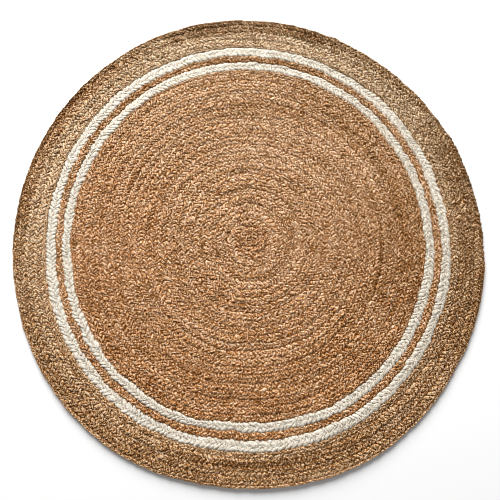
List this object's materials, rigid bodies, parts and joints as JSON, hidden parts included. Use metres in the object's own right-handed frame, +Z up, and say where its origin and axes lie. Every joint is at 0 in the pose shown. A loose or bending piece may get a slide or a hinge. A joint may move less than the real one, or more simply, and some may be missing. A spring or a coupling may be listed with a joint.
{
  "type": "round braided jute rug",
  "caption": "Flat round rug of coiled and sewn jute braid, with bleached braid rings set in near its edge.",
  "frame": {"origin": "middle of the rug's bounding box, on its flat underside", "axes": "+Z up out of the rug's face, +Y away from the picture's near edge, +X to the picture's right"},
  "size_m": [1.191, 1.2102, 0.009],
  "materials": {
    "jute": "natural golden-brown jute fibre, plaited, matt with a dry sheen",
    "border_jute": "natural jute fibre of a greyer, darker lot, plaited, matt",
    "bleached_jute": "bleached off-white jute fibre, plaited, matt"
  },
  "bodies": {
    "root": {"jute_centre": "jute", "white_ring_inner": "bleached_jute", "jute_ring_between": "jute", "white_ring_outer": "bleached_jute", "jute_border": "border_jute"}
  },
  "joints": []
}
